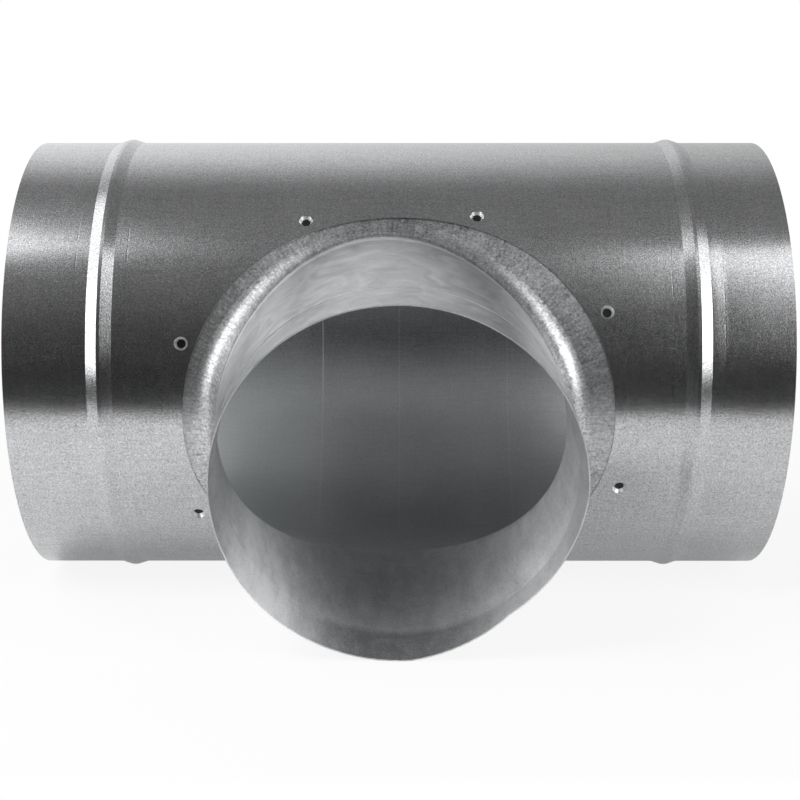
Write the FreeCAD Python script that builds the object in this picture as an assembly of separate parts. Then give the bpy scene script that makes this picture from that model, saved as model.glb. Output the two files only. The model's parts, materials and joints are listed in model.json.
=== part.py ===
import FreeCAD, Part
import math
import os

# Reducing duct tee in galvanised steel sheet, for a 224 mm duct with a 160 mm branch.
#
# It has two pieces. The run pipe is a rolled sheet tube with a stop bead near each end and a round hole in
# its side. The branch saddle is one pressed piece: its flange lies inside the run, round the hole, and its
# neck comes out through the hole. Round pressed joints, punched inwards through both sheets, hold them.
#
# Each piece is modelled with the run along X, the branch along -Y and the two axes crossing at the origin.
# It is then set down as the tee lies on a floor, on its two beads and on the branch's rim.

vec = FreeCAD.Vector
origin = vec(0, 0, 0)
run_axis = vec(1, 0, 0)
branch_axis = vec(0, -1, 0)
up = vec(0, 0, 1)

# Sheet and fits
sheet = 0.6
duct_play = 0.4
seat_gap = 0.05

# Run pipe
run_duct_bore = 224.0
run_length = 370.0
insertion_length = 39.0
bead_width = 12.0
bead_height = 1.7
bead_crown = 1.6
lap_width = 8.0
lap_turn = 135.0

# Hole in the run, a circle when the sheet is flat, and the flange that backs it
hole_radius = 101.5
flange_overlap = 18.0

# Neck of the branch, which leans: at the run's face its middle is off the branch's axis by the two leans
branch_duct_bore = 160.0
branch_reach = 197.0
spigot_length = 27.0
spigot_step = 0.1
dent_from_step = 1.5
neck_flare = 2.0
neck_lean_along = -4.0
neck_lean_up = -0.6
root_radius = 12.0

# Dent in the branch's rim, by the turn round the branch from the +X side
dent_start = -86.0
dent_crease = -50.0
dent_end = -2.0
dent_depth = 5.0
dent_slack = 2.6

# Pressed joints: turn round the hole and distance from its middle, uneven because they are punched by hand
joint_places = ((28, 110), (70, 109), (114, 109), (160, 108), (209, 112), (254, 110), (298, 110), (341, 112))
cup_mouth_radius = 3.3
cup_floor_radius = 1.95
cup_depth = 1.9

# Sizes that follow
run_radius = run_duct_bore / 2 - duct_play
saddle_radius = run_radius - sheet - seat_gap
spigot_radius = branch_duct_bore / 2 - duct_play
flange_radius = hole_radius + flange_overlap
bead_radius = run_radius + bead_height
bead_middle = run_length / 2 - insertion_length - bead_width / 2


def polar(radius, turn, reach):
    """A point at a radius and a turn round the branch's axis, at a distance out from the run's axis."""
    angle = math.radians(turn)
    return vec(radius * math.cos(angle), -reach, radius * math.sin(angle))


def run_line(offset):
    """The corners of the run's outline from end to end, at an offset from its outer face."""
    foot = bead_width / 2
    crown = bead_crown / 2
    corners = [(-run_length / 2, 0)]
    for middle in (-bead_middle, bead_middle):
        corners += [(middle - foot, 0), (middle - crown, bead_height)]
        corners += [(middle + crown, bead_height), (middle + foot, 0)]
    corners.append((run_length / 2, 0))
    return [vec(along, 0, run_radius + offset + rise) for along, rise in corners]


def run_band(inner, outer, turn):
    """The run's sheet between two offsets from its outer face, turned about the run's axis from the top."""
    corners = run_line(outer) + run_line(inner)[::-1]
    return Part.Face(Part.makePolygon(corners + corners[:1])).revolve(origin, run_axis, turn)


def lap_seam():
    """The inner layer of the lap where the rolled sheet's edges meet, on the side away from the branch."""
    turn = math.degrees(lap_width / run_radius)
    lap = run_band(-2 * sheet, -sheet / 2, turn)
    lap.rotate(origin, run_axis, 90 - lap_turn - turn / 2)
    return lap


def wrapped_disc(radius, inner, outer):
    """A disc cut in the flat sheet and rolled with it about the run's axis, between two radii."""
    surface = Part.Cylinder()
    surface.Radius = inner
    turned = FreeCAD.Rotation(-branch_axis, up, run_axis, "ZXY")
    surface.transform(FreeCAD.Placement(origin, turned).toMatrix())
    middle = FreeCAD.Base.Vector2d(math.pi, 0)
    along = FreeCAD.Base.Vector2d(math.pi, radius)
    around = FreeCAD.Base.Vector2d(math.pi + radius / run_radius, 0)
    rim = Part.Geom2d.Ellipse2d(along, around, middle).toShape(surface)
    disc = Part.Face(surface, Part.Wire(rim))
    return disc.makeOffsetShape(outer - inner, 1e-4, fill=True)


# Pressed joints

def cup(drop, top):
    """A joint's tapered cup, its mouth a drop below the run's face, filled up to a level from that face."""
    taper = (cup_mouth_radius - cup_floor_radius) / cup_depth
    floor = -drop - cup_depth
    return Part.makeCone(cup_floor_radius, cup_floor_radius + taper * (top - floor), top - floor, up * floor)


def at_joints(shape):
    """Copies of a shape at every joint, its +Z turned to point out of the run's face."""
    copies = []
    for turn, distance in joint_places:
        angle = math.radians(turn)
        lift = math.degrees(distance * math.sin(angle) / run_radius)
        copy = shape.copy()
        copy.rotate(origin, run_axis, 90)
        copy.translate(branch_axis * run_radius)
        copy.rotate(origin, run_axis, -lift)
        copy.translate(run_axis * distance * math.cos(angle))
        copies.append(copy)
    return copies


def run_pipe():
    tube = run_band(-sheet, 0, 360).fuse(lap_seam())
    tube = tube.cut(wrapped_disc(hole_radius, run_radius - 2 * sheet, run_radius + 2 * sheet))
    return tube.fuse(at_joints(cup(sheet, -sheet / 2))).cut(at_joints(cup(0, sheet)))


# Branch saddle

def rim_wire(radius, reach, dent):
    """The neck's round section in three edges, its dented stretch pressed in by a share of its depth."""
    def point(turn, depth):
        return polar(radius - dent * depth, turn, reach)
    start, crease, end = point(dent_start, 0), point(dent_crease, dent_depth), point(dent_end, 0)
    far = point((dent_start + dent_end) / 2 + 180, 0)
    stretches = [
        Part.Arc(start, point((dent_start + dent_crease) / 2, dent_slack), crease),
        Part.Arc(crease, point((dent_crease + dent_end) / 2, dent_slack), end),
        Part.Arc(end, far, start),
    ]
    return Part.Wire([stretch.toShape() for stretch in stretches])


def neck_form(inset):
    """The neck as a filled form: a leaning cone up to a small step, and a straight end with the dent."""
    spigot_start = branch_reach - spigot_length
    share = spigot_start / (spigot_start - run_radius)
    lean = branch_axis * spigot_start - vec(neck_lean_along, 0, neck_lean_up) * share
    foot = branch_axis * spigot_start - lean
    step_radius = spigot_radius + spigot_step - inset
    past_step = 1 + spigot_length / lean.Length
    root_end = step_radius + neck_flare * share
    far_end = root_end - neck_flare * share * past_step
    cone = Part.makeCone(root_end, far_end, lean.Length * past_step, foot, lean)
    drawn = cone.common(Part.makeCylinder(2 * root_end, spigot_start - inset, origin, branch_axis))
    dent_reach = spigot_start + dent_from_step
    step = branch_axis * (spigot_start - inset)
    straight = Part.makeCylinder(spigot_radius - inset, dent_from_step + inset, step, branch_axis)
    rims = [rim_wire(spigot_radius - inset, dent_reach, 0), rim_wire(spigot_radius - inset, branch_reach, 1)]
    return drawn.fuse([straight, Part.makeLoft(rims, True, True)])


def pressed_form(inset):
    """The saddle's outer face filled to the run's axis, or its inner face when inset by the sheet."""
    roll = saddle_radius - inset
    half = flange_radius + 2 * flange_overlap
    barrel = Part.makeCylinder(roll, 2 * half, run_axis * -half, run_axis)
    form = barrel.fuse(neck_form(inset))
    root = []
    for edge in form.Edges:
        middle = edge.valueAt((edge.FirstParameter + edge.LastParameter) / 2)
        on_roll = abs(math.hypot(middle.y, middle.z) - roll) < sheet / 10
        if on_roll and abs(middle.x) < half - 1 and middle.y < 0:
            root.append(edge)
    return form.makeFillet(root_radius + inset, root)


def branch_saddle():
    shell = pressed_form(0).cut(pressed_form(sheet))
    reach = math.hypot(branch_reach, spigot_radius)
    saddle = shell.common(wrapped_disc(flange_radius, saddle_radius - 2 * sheet, reach + sheet))
    seat = sheet + seat_gap
    saddle = saddle.fuse(at_joints(cup(seat + sheet, -seat - sheet / 2)))
    return saddle.cut(at_joints(cup(seat, 0)))


# Rest on the floor

def rest_tilt():
    """How far the branch dips for its rim to touch the floor that the run's beads stand on, in degrees."""
    rim_from_axis = math.hypot(branch_reach, spigot_radius)
    rim_turn = math.atan2(spigot_radius, branch_reach)
    return math.degrees(math.asin(bead_radius / rim_from_axis) - rim_turn)


def set_down(piece):
    """Tips a piece to the tee's rest, with the floor at zero height under the middle of the whole tee."""
    tilt = math.radians(rest_tilt())
    front = branch_reach * math.cos(tilt) + spigot_radius * math.sin(tilt)
    piece.rotate(origin, run_axis, rest_tilt())
    piece.translate(vec(0, (front - bead_radius) / 2, bead_radius))
    return piece


os.makedirs("parts", exist_ok=True)
pieces = {"run_pipe": run_pipe(), "branch_saddle": branch_saddle()}
for name, shape in pieces.items():
    solid = set_down(shape)
    solid.exportStep(f"parts/{name}.step")
    print(name, "solids", len(solid.Solids), "valid", solid.isValid(), "volume", round(solid.Volume))
print("branch dips by", round(rest_tilt(), 2), "degrees")
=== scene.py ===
# %% [markdown]
# A reducing duct tee
#
# This lesson dresses a ventilation fitting for a photograph: a tube of galvanised sheet, 370 mm long, with a
# smaller branch pressed out of its side. The CAD model already has both pieces at their real size, so nothing is
# built here by eye. What makes a sheet metal part look real is its surface and what it mirrors, and so most of
# this script is about two finishes and a small studio.
#
# The first cell loads the CAD model. All lengths are in metres, with +X along the tube and +Z up.

# %% Load the CAD model
import bpy
import json
import math
from mathutils import Euler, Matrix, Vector

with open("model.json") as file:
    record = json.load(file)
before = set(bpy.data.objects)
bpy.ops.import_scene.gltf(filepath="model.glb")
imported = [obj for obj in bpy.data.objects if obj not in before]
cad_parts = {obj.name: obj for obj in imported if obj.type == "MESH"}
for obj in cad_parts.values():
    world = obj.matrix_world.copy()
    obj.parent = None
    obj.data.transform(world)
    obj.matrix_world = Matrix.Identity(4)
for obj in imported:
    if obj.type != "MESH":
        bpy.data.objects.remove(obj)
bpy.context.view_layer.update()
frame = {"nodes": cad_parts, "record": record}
run_pipe = frame["nodes"]["run_pipe"]
branch_saddle = frame["nodes"]["branch_saddle"]
print("pieces:", sorted(frame["nodes"]))

# %% [markdown]
# The finishes need to know where a point lies on each piece: how far along a tube, and how far from its axis.
# The mounts in the record give both axes, so they are read from there and not typed again. The tee lies as it
# comes to rest, with the branch dipping until its rim meets the floor.

# %% Find the axes of the run and of the branch
mounts = {mount["name"]: mount for mount in frame["record"]["mounts"]}
run_radius = mounts["run_right"]["dims"]["r_mm"] / 1000
branch_radius = mounts["branch"]["dims"]["r_mm"] / 1000
run_length = run_pipe.dimensions.x
centre = Vector((0, *mounts["run_right"]["pos_m"][1:]))
branch_axis = Vector(mounts["branch"]["axis"])
branch_dip = math.asin(-branch_axis.z)
rim_reach = (Vector(mounts["branch"]["pos_m"]) - centre).length + mounts["branch"]["dims"]["length_mm"] / 2000
print("axes cross at", tuple(round(v, 4) for v in centre))
print("the branch dips by", round(math.degrees(branch_dip), 2), "degrees")

# %% [markdown]
# The camera stands where the photographer's stood. A lens of 67 mm on a 36 mm wide sensor gives the right
# foreshortening of the branch, which a longer lens would flatten. It looks down a little, and no shift is needed.

# %% Place the camera
camera_place = Vector((0.0016, -0.7537, 0.2058))
camera_down = 8.40
camera_turn = 0.09
lens = 67.2

camera_data = bpy.data.cameras.new("camera")
camera_data.lens = lens
camera_data.sensor_width = 36
camera_data.clip_start = 0.01
camera = bpy.data.objects.new("camera", camera_data)
camera.location = camera_place
camera.rotation_euler = Euler((math.radians(90 - camera_down), 0, math.radians(camera_turn)))
bpy.context.collection.objects.link(camera)
bpy.context.scene.camera = camera
print("camera", round((camera_place - centre).length, 3), "m from the crossing of the axes")

# %% [markdown]
# A material is a tree of nodes, and long trees are hard to read when each link takes a line of its own. One small
# class wraps the output of a node and overloads Python's signs, so that a sum on wires adds the Math nodes for
# it. The reflected forms, such as __rsub__, make 1 - mask work as well as mask - 1.

# %% A wire that Python can do sums with
class Wire:
    """The output of a node. A sum with another wire, or with a number, adds a Math node to the same tree."""

    def __init__(self, bench, socket):
        self.bench = bench
        self.socket = socket

    def math(self, operation, other=0.0):
        return self.bench.node("ShaderNodeMath", {"operation": operation}, {0: self, 1: other})

    def __add__(self, other):
        return self.math("ADD", other)

    def __sub__(self, other):
        return self.math("SUBTRACT", other)

    def __mul__(self, other):
        return self.math("MULTIPLY", other)

    def __truediv__(self, other):
        return self.math("DIVIDE", other)

    def __pow__(self, other):
        return self.math("POWER", other)

    def __rsub__(self, other):
        return self.bench.node("ShaderNodeMath", {"operation": "SUBTRACT"}, {0: other, 1: self})

    __radd__ = __add__
    __rmul__ = __mul__

# %% [markdown]
# Every other node comes from one method. It takes the type of the node, then its settings, which are set first
# because some of them change which sockets there are, and then the values or wires of its sockets. The words
# that come back often, such as a soft step, a thin line or noise, are short methods built on that one.

# %% A bench that makes nodes
class Bench:
    """Makes the nodes of one material, or of the world."""

    def __init__(self, owner):
        owner.use_nodes = True
        self.tree = owner.node_tree
        self.tree.nodes.clear()

    def node(self, kind, settings, sockets, output=0):
        made = self.tree.nodes.new(kind)
        for name, value in settings.items():
            setattr(made, name, value)
        for key, value in sockets.items():
            socket = made.inputs[key]
            if isinstance(value, Wire):
                self.tree.links.new(value.socket, socket)
            elif socket.type == "RGBA":
                socket.default_value = (*value, 1)
            else:
                socket.default_value = value
        return Wire(self, made.outputs[output]) if made.outputs else None

    def step(self, value, start, end):
        """Rises softly from 0 to 1 while the value goes from start to end."""
        settings = {"interpolation_type": "SMOOTHSTEP"}
        return self.node("ShaderNodeMapRange", settings, {0: value, 1: start, 2: end, 3: 0.0, 4: 1.0})

    def line(self, value, place, width):
        """A soft line: 1 where the value is at a place, and 0 further than a width from it."""
        return 1 - self.step((value - place).math("ABSOLUTE"), 0.0, width)

    def noise(self, place, size, detail=2.0, roughness=0.5, swirl=0.0):
        """Cloudy noise about 0.5, its largest grains of a size in metres, drawn out into swirls if asked."""
        sockets = {"Vector": place, "Scale": 1 / size, "Detail": detail, "Roughness": roughness}
        return self.node("ShaderNodeTexNoise", {}, sockets | {"Distortion": swirl})

    def vector(self, x, y, z):
        return self.node("ShaderNodeCombineXYZ", {}, {0: x, 1: y, 2: z})

    def mix(self, factor, first, second):
        """A colour between two colours."""
        return self.node("ShaderNodeMix", {"data_type": "RGBA"}, {0: factor, 6: first, 7: second}, output=2)

    def facing(self, direction):
        """How far the surface faces a direction given in the turned frame: above 0 towards it, below 0 away."""
        normal = self.node("ShaderNodeNewGeometry", {}, {}, output="Normal")
        settings = {"vector_type": "NORMAL"}
        level = self.node("ShaderNodeMapping", settings, {"Vector": normal, "Rotation": (-branch_dip, 0, 0)})
        return self.node("ShaderNodeVectorMath", {"operation": "DOT_PRODUCT"}, {0: level, 1: direction}, output=1)

    def tee_place(self):
        """Where a point lies from the crossing of the axes, with the branch turned level along -Y."""
        place = self.node("ShaderNodeTexCoord", {}, {}, output="Object")
        level = Euler((branch_dip, 0, 0)).to_matrix().inverted()
        sockets = {"Vector": place, "Location": -(level @ centre), "Rotation": (-branch_dip, 0, 0)}
        moved = self.node("ShaderNodeMapping", {"vector_type": "POINT"}, sockets)
        split = self.node("ShaderNodeSeparateXYZ", {}, {0: moved})
        return moved, *(Wire(self, output) for output in split.socket.node.outputs)

print("bench ready")

# %% [markdown]
# Galvanised sheet is steel under a thin coat of zinc. It is a metal, so the shader is fully metallic but for a few
# chalky places, and its colour is what the zinc does to a reflection: a grey between dark and light zinc. Each
# finish below works out a tone, where 0 is the dark zinc and 1 the light one. The fine crystals of the coat tilt
# the reflection a little from grain to grain. That gives the speckle of a satin sheet, and it is made with bump and
# with a slight change of tone, both from the same noise.

# %% Finish a metal surface
light_zinc = (0.94, 0.945, 0.955)
dark_zinc = (0.24, 0.245, 0.255)
relief = 0.00004


def metal(bench, colour, roughness, height, metallic=1.0):
    """Ends a material: zinc of a colour and roughness, its height map raised by the relief for each 1 in it."""
    bumps = bench.node("ShaderNodeBump", {}, {"Strength": 1.0, "Distance": relief, "Height": height})
    sockets = {"Base Color": colour, "Metallic": metallic, "Roughness": roughness, "Normal": bumps}
    shader = bench.node("ShaderNodeBsdfPrincipled", {}, sockets)
    bench.node("ShaderNodeOutputMaterial", {}, {"Surface": shader})

print("zinc between", dark_zinc, "and", light_zinc)

# %% [markdown]
# The run pipe was rolled from flat sheet, and its beads were rolled in afterwards. This step finds where things
# are on it, as masks that are 1 on the spot and 0 elsewhere. The inside is where the surface faces the axis. The
# cups of the pressed joints lie under the outer face. The rolls left a fine broken line on either side of each
# bead, and pressed a shallow shoulder beyond the right one. Three long scratches go round the inside: the list
# gives the strength of each by its place along the tube.

# %% Find the marks on the run pipe
bead_place = 0.140
roll_mark, mark_width = 0.012, 0.0005
shoulder_start, shoulder_end = 0.146, 0.154
scratches = {-0.047: 0.65, -0.0002: 0.13, 0.066: 0.13}
scratch_width = 0.0006
patch_start, patch_end = -0.100, -0.01
top_start, top_end = -0.065, -0.015

run_material = bpy.data.materials.new("run_galvanised_steel")
bench = Bench(run_material)
place, x, y, z = bench.tee_place()
from_axis = (y * y + z * z) ** 0.5
turn = z.math("ARCTAN2", y)
inside = 1 - bench.step(bench.facing(bench.vector(0.0, y, z)), -0.01, 0.01)
sunk = (run_radius - from_axis) * (1 - inside)
cup_wall = bench.step(sunk, 0.0001, 0.0003)
cup_floor = bench.step(sunk, 0.0016, 0.0018)
# The left end of the inside is painted paler, a painted light; its slight green tint is the zinc's own colour.
painted_light_green_patch = inside * (1 - bench.step(x, patch_start, patch_end))
# The top of the inside is painted darker: painted shade.
painted_shade_top = inside * bench.step(z, top_start, top_end)

ragged = bench.noise(bench.vector(x, turn * 0.05, from_axis), 0.004, detail=4, roughness=0.8)
from_bead = (x.math("ABSOLUTE") - bead_place).math("ABSOLUTE")
marks = bench.line(from_bead, roll_mark, mark_width) * bench.step(ragged, 0.42, 0.60)
shoulder = 1 - bench.step(x, shoulder_start, shoulder_end)
scratch = sum(bench.line(x, at, scratch_width) * strength for at, strength in scratches.items())
scratch = scratch * inside * bench.step(z * -1, -0.06, 0.0) * bench.step(y, 0.0, 0.05)
print("roll marks", roll_mark * 1000, "mm from each bead, and", len(scratches), "scratches")

# %% [markdown]
# Now the masks and four layers of noise make the finish: the crystals of the zinc, broad clouds, and the fine
# lines that the rolling left across the tube and along it. The cup walls are painted lighter, a painted highlight,
# round floors painted nearly black, a painted shade. Inside, the sheet keeps the duller face that lay against the
# rolls. Its top is painted darker, a painted shade, and a patch at the left is painted paler, a painted light, with
# a slight green tint that is the zinc's own.

# %% Finish the run pipe
crystal, roll_line, cloud = 0.0007, 0.0015, 0.035
shoulder_drop = 0.0002
green_zinc = (0.92, 0.955, 0.955)
cup_shade = (0.05, 0.05, 0.05)

grain = bench.noise(place, crystal, detail=2, roughness=0.8) - 0.5
clouds = bench.noise(place, cloud, detail=3)
across = bench.noise(bench.vector(x, turn * 0.012, from_axis), roll_line, detail=3, roughness=0.7)
along = bench.noise(bench.vector(x * 0.08, turn * run_radius, from_axis), roll_line, detail=3, roughness=0.7)

fine = grain * (1.6 - 0.8 * inside) * (1 - cup_wall)
# The inside's own duller face, plus painted shade at its top and painted light at its left end.
inside_face_painted_shade_and_light = 0.36 * inside - 0.80 * painted_shade_top + 0.16 * painted_light_green_patch
tone = 0.23 + fine + 0.10 * clouds + 0.15 * across + 0.25 * along - 0.08 * marks
# The 0.6 * cup_wall term paints the cup walls lighter: a painted highlight.
tone = tone + scratch + inside_face_painted_shade_and_light + 0.6 * cup_wall
zinc = bench.mix(tone, dark_zinc, bench.mix(painted_light_green_patch, light_zinc, green_zinc))
# The cup floors are painted nearly black: painted shade.
colour = bench.mix(cup_floor, zinc, cup_shade)
rough = 0.16 + 0.08 * clouds - 0.06 * marks + 0.04 * across + 0.14 * inside + 0.2 * cup_wall
height = 0.6 * grain + 0.3 * across + 0.3 * along - 0.6 * marks + shoulder * (shoulder_drop / relief)
metal(bench, colour, rough, height)
run_pipe.material_slots[0].material = run_material
print("run pipe dressed")

# %% [markdown]
# The branch saddle was pressed from one sheet. Again the places come first. The neck leans, and so its middle is
# found for each distance from the run. A crease ends the root, where a ball that rolls along the root leaves the
# neck, and so it follows from three radii and a small lag. Inside the neck the zinc is dull and scuffed near the
# rim, and low on its sides it has lighter, less metallic streaks: a painted highlight. A faint ledge starts the
# straight end, and its line is painted lighter, a painted light. The rim's cut edge faces forward.

# %% Find the places on the branch saddle
flange_under = 0.00065
root_radius = 0.012
neck_radius = 0.081
crease_lag = 0.0025
spigot_length = 0.027
lean_along, lean_up = -0.0040, -0.0006
ledge_width = 0.0006
# Where the lighter streaks low inside the neck lie and how far they spread: a painted highlight.
painted_highlight_rise, painted_highlight_spread = -0.64, 0.42

saddle_material = bpy.data.materials.new("branch_galvanised_steel")
bench = Bench(saddle_material)
place, x, y, z = bench.tee_place()
reach = y * -1
neck_end = rim_reach - spigot_length
lean = (neck_end - reach) * (1 / (neck_end - run_radius))
aside = x - lean * lean_along
above = z - lean * lean_up
from_branch_axis = (aside * aside + above * above) ** 0.5
turn = above.math("ARCTAN2", aside)
rise = above / from_branch_axis

ball = lean * lean_up + above * ((neck_radius + root_radius) / neck_radius)
root_end = run_radius - flange_under + root_radius + crease_lag
past_crease = (reach * reach + ball * ball) ** 0.5 - root_end
on_neck = bench.step(past_crease, -0.0004, 0.0004)
outward = bench.facing(bench.vector(x, 0.0, z))
outside = bench.step(outward, -0.01, 0.01)
crease = bench.line(past_crease, 0.0012, 0.0032) - 0.6 * bench.line(past_crease, -0.0030, 0.0030)
crease = crease * outside

dull = (1 - outside) * bench.step(past_crease, -0.011, -0.005)
scuff = bench.step(reach, neck_end - 0.002, neck_end + 0.006) * (1 - bench.step(rise, -0.98, -0.80))
# Lighter, less metallic streaks on the lower sides of the inside, weaker on the right: a painted highlight.
painted_highlight_streaks = dull * bench.line(rise, painted_highlight_rise, painted_highlight_spread) * (1 - 0.5 * bench.step(aside, 0.0, 0.05))
# The line of the faint ledge is painted lighter and less metallic: painted light.
ledge_painted_lighter = bench.line(reach, neck_end, ledge_width) * (1 - dull)
forward = bench.step(bench.facing(bench.vector(0.0, -1.0, 0.0)), 0.8, 0.9)
cut_edge = forward * bench.step(reach, rim_reach - 0.002, rim_reach - 0.001)
print("root ends", round(root_end * 1000, 1), "mm from the axis of the run")

# %% [markdown]
# Where the sheet was stretched most, at the flange and the root, the zinc has a coarse grain and fine tears. From
# the crease on, the neck was drawn smooth by the tool, with cloudy swirls. Inside the neck the zinc has gone dull
# and chalky, in streaks along the way the sheet was drawn. Each of the three has its own tone, and the masks choose
# between them.

# %% Finish the branch saddle
crystal, spangle_size, cloud, streak = 0.0007, 0.0012, 0.018, 0.007
dulling = 0.05
chalk = 0.3

grain = bench.noise(place, crystal, detail=2, roughness=0.7)
spangle = bench.noise(place, spangle_size, detail=1, roughness=0.6)
torn = bench.vector(turn * 0.09, from_branch_axis * 0.15, reach * 0.15)
tears = bench.noise(torn, spangle_size, detail=3)
clouds = bench.noise(place, cloud, detail=5, roughness=0.6, swirl=1.6)
drawn = bench.noise(bench.vector(turn * 0.006, past_crease, 0.0), 0.0018, detail=4, roughness=0.6)
streaks = bench.noise(bench.vector(turn * 0.08, reach * 0.2, outward), streak, detail=6, roughness=0.7)

coarse = 1.0 * grain + 1.1 * spangle + 0.8 * tears + 0.5 * clouds - 1.25
coarse = coarse - (1 - outside) * (0.7 * coarse - 0.2)
smooth = 0.9 * clouds + 0.25 * drawn + 0.15 * grain - 0.18
# Its last term lightens the lower sides of the inside: a painted highlight.
chalky = 0.9 * grain + 0.5 * streaks + 0.3 * clouds - 0.47 - 0.35 * scuff + painted_highlight_streaks * (0.8 * streaks + 0.15)
tone = coarse + on_neck * (smooth - coarse)
# Its ledge term paints the faint ledge lighter: painted light.
tone = tone + dull * (chalky - tone) + 0.45 * crease + 0.25 * cut_edge + 0.1 * ledge_painted_lighter
colour = bench.mix(tone, dark_zinc, light_zinc)
rough = 0.36 + 0.06 * clouds + dulling * dull + 0.4 * ledge_painted_lighter + 0.3 * cut_edge
height = (1 - on_neck) * (0.4 * grain + spangle + tears) + on_neck * (0.4 * clouds + 0.2 * grain)
metallic = 1 - chalk * dull - 0.6 * painted_highlight_streaks - 0.25 * ledge_painted_lighter
metal(bench, colour, rough, height + 3.0 * crease, metallic)
branch_saddle.material_slots[0].material = saddle_material
print("branch saddle dressed")

# %% [markdown]
# A metal shows its surroundings, so the studio is part of the finish. The tee lies on white paper that ends just
# in front of it. The room in front, behind the camera, is dark, and so the front of the run is dark too. It
# lights up again where it mirrors the paper below and the white wall behind. For the camera the paper is simply
# white, with a share of its true light mixed in, which keeps a soft shadow under the tee. The metal, too, sees a
# share of that white in it.

# %% The paper on the floor
paper_front = -0.262
paper_white = 0.85
floor_dark = 0.03
shadow_start, shadow_end = 0.35, 0.95
shadow_share = 0.12
mirror_white = 0.25


def grey(value):
    return value, value, value


bpy.ops.mesh.primitive_circle_add(vertices=96, radius=4, fill_type="NGON")
floor = bpy.context.object
floor.name = "floor"
paper = bpy.data.materials.new("paper")
bench = Bench(paper)
place = bench.node("ShaderNodeTexCoord", {}, {}, output="Object")
depth = bench.node("ShaderNodeSeparateXYZ", {}, {0: place}, output="Y")
far = bench.node("ShaderNodeVectorMath", {"operation": "LENGTH"}, {0: place}, output="Value")
seen = bench.node("ShaderNodeLightPath", {}, {}, output="Is Camera Ray")
mirrored = bench.node("ShaderNodeLightPath", {}, {}, output="Is Glossy Ray")
on_paper = bench.step(depth, paper_front - 0.01, paper_front + 0.01)
near = 1 - bench.step(far, shadow_start, shadow_end)
lit = bench.node("ShaderNodeBsdfDiffuse", {}, {"Color": grey(paper_white)})
unlit = bench.node("ShaderNodeBsdfDiffuse", {}, {"Color": grey(floor_dark)})
white = bench.node("ShaderNodeEmission", {}, {"Color": (1, 1, 1), "Strength": 1.0})
half_lit = bench.node("ShaderNodeMixShader", {}, {0: mirrored * mirror_white, 1: lit, 2: white})
true_light = bench.node("ShaderNodeMixShader", {}, {0: on_paper, 1: unlit, 2: half_lit})
shown = bench.node("ShaderNodeMixShader", {}, {0: near * on_paper * shadow_share, 1: white, 2: lit})
surface = bench.node("ShaderNodeMixShader", {}, {0: seen, 1: true_light, 2: shown})
bench.node("ShaderNodeOutputMaterial", {}, {"Surface": surface})
floor.data.materials.append(paper)
print("paper ends", paper_front, "m in front")

# %% [markdown]
# The rest of the room is the world, which has no distance, only directions. It is dark in front and a little
# lighter overhead. Behind the tee stands a white wall, brighter towards the left, where the larger lamp is. The
# camera sees pure white in its place, so the background of the picture is clean. Each part of the room is a plain
# background of one strength, and soft steps on the direction choose between them.

# %% The room and the white wall
room_low, room_high = 0.05, 0.21
wall_left, wall_right = 1.63, 0.0

world = bpy.data.worlds.new("studio")
bpy.context.scene.world = world
bench = Bench(world)
direction = bench.node("ShaderNodeTexCoord", {}, {}, output="Generated")
split = bench.node("ShaderNodeSeparateXYZ", {}, {0: direction})
side, ahead, height = (Wire(bench, output) for output in split.socket.node.outputs)
seen = bench.node("ShaderNodeLightPath", {}, {}, output="Is Camera Ray")


def light_of(strength):
    return bench.node("ShaderNodeBackground", {}, {"Color": (1, 1, 1), "Strength": strength})


def choose(share, first, second):
    return bench.node("ShaderNodeMixShader", {}, {0: share, 1: first, 2: second})


room = choose(bench.step(height, 0.2, 1.0), light_of(room_low), light_of(room_high))
wall = choose(0.5 + 0.5 * side, light_of(wall_left), light_of(wall_right))
around = choose(bench.step(ahead, 0.2, 0.8), room, wall)
shown = choose(seen, around, light_of(1.0))
bench.node("ShaderNodeOutputWorld", {}, {"Surface": shown})
print("world ready")

# %% [markdown]
# Two soft boxes light the tee. The left one hangs over it and leans in, and the right one stands lower and
# further to the front. They make the bright patches at the ends of the run and the white flanks of the beads. Two
# panels stand to the left and right of the branch. The front of the run hardly mirrors them, but the root and the
# neck of the branch do. They keep out of the line that looks through the run, or the inside of the tube would turn
# white when it is seen from its end. A fifth lamp lights the paper and doesn't show in the metal.

# %% The lamps
def lamp(name, place, width, height, brightness, aim):
    """A soft box that faces a point. Its brightness is what a mirror shows of it, where 1 is white."""
    data = bpy.data.lights.new(name, "AREA")
    data.shape = "RECTANGLE"
    data.size = width
    data.size_y = height
    data.energy = brightness * width * height * math.pi
    made = bpy.data.objects.new(name, data)
    made.location = place
    made.rotation_euler = (aim - Vector(place)).to_track_quat("-Z", "Y").to_euler()
    bpy.context.collection.objects.link(made)
    return made


lamp("left_soft_box", (-1.50, -0.45, 1.70), 1.90, 1.80, 1.6, centre)
lamp("right_soft_box", (1.42, -1.15, 1.15), 1.60, 1.90, 1.6, Vector((0.75, 0.05, 0.11)))
lamp("left_panel", (-1.45, -0.95, 0.50), 0.9, 1.1, 2.6, centre)
lamp("right_panel", (1.45, -0.95, 0.50), 0.9, 1.1, 2.4, centre)
paper_lamp = lamp("paper_lamp", (-0.9, -0.9, 1.5), 0.8, 0.8, 7.0, centre)
paper_lamp.visible_glossy = False
print("five lamps")

# %% [markdown]
# The picture is kept as the lamps give it: the Standard view changes no colour.

# %% Finish
bpy.context.scene.view_settings.view_transform = "Standard"
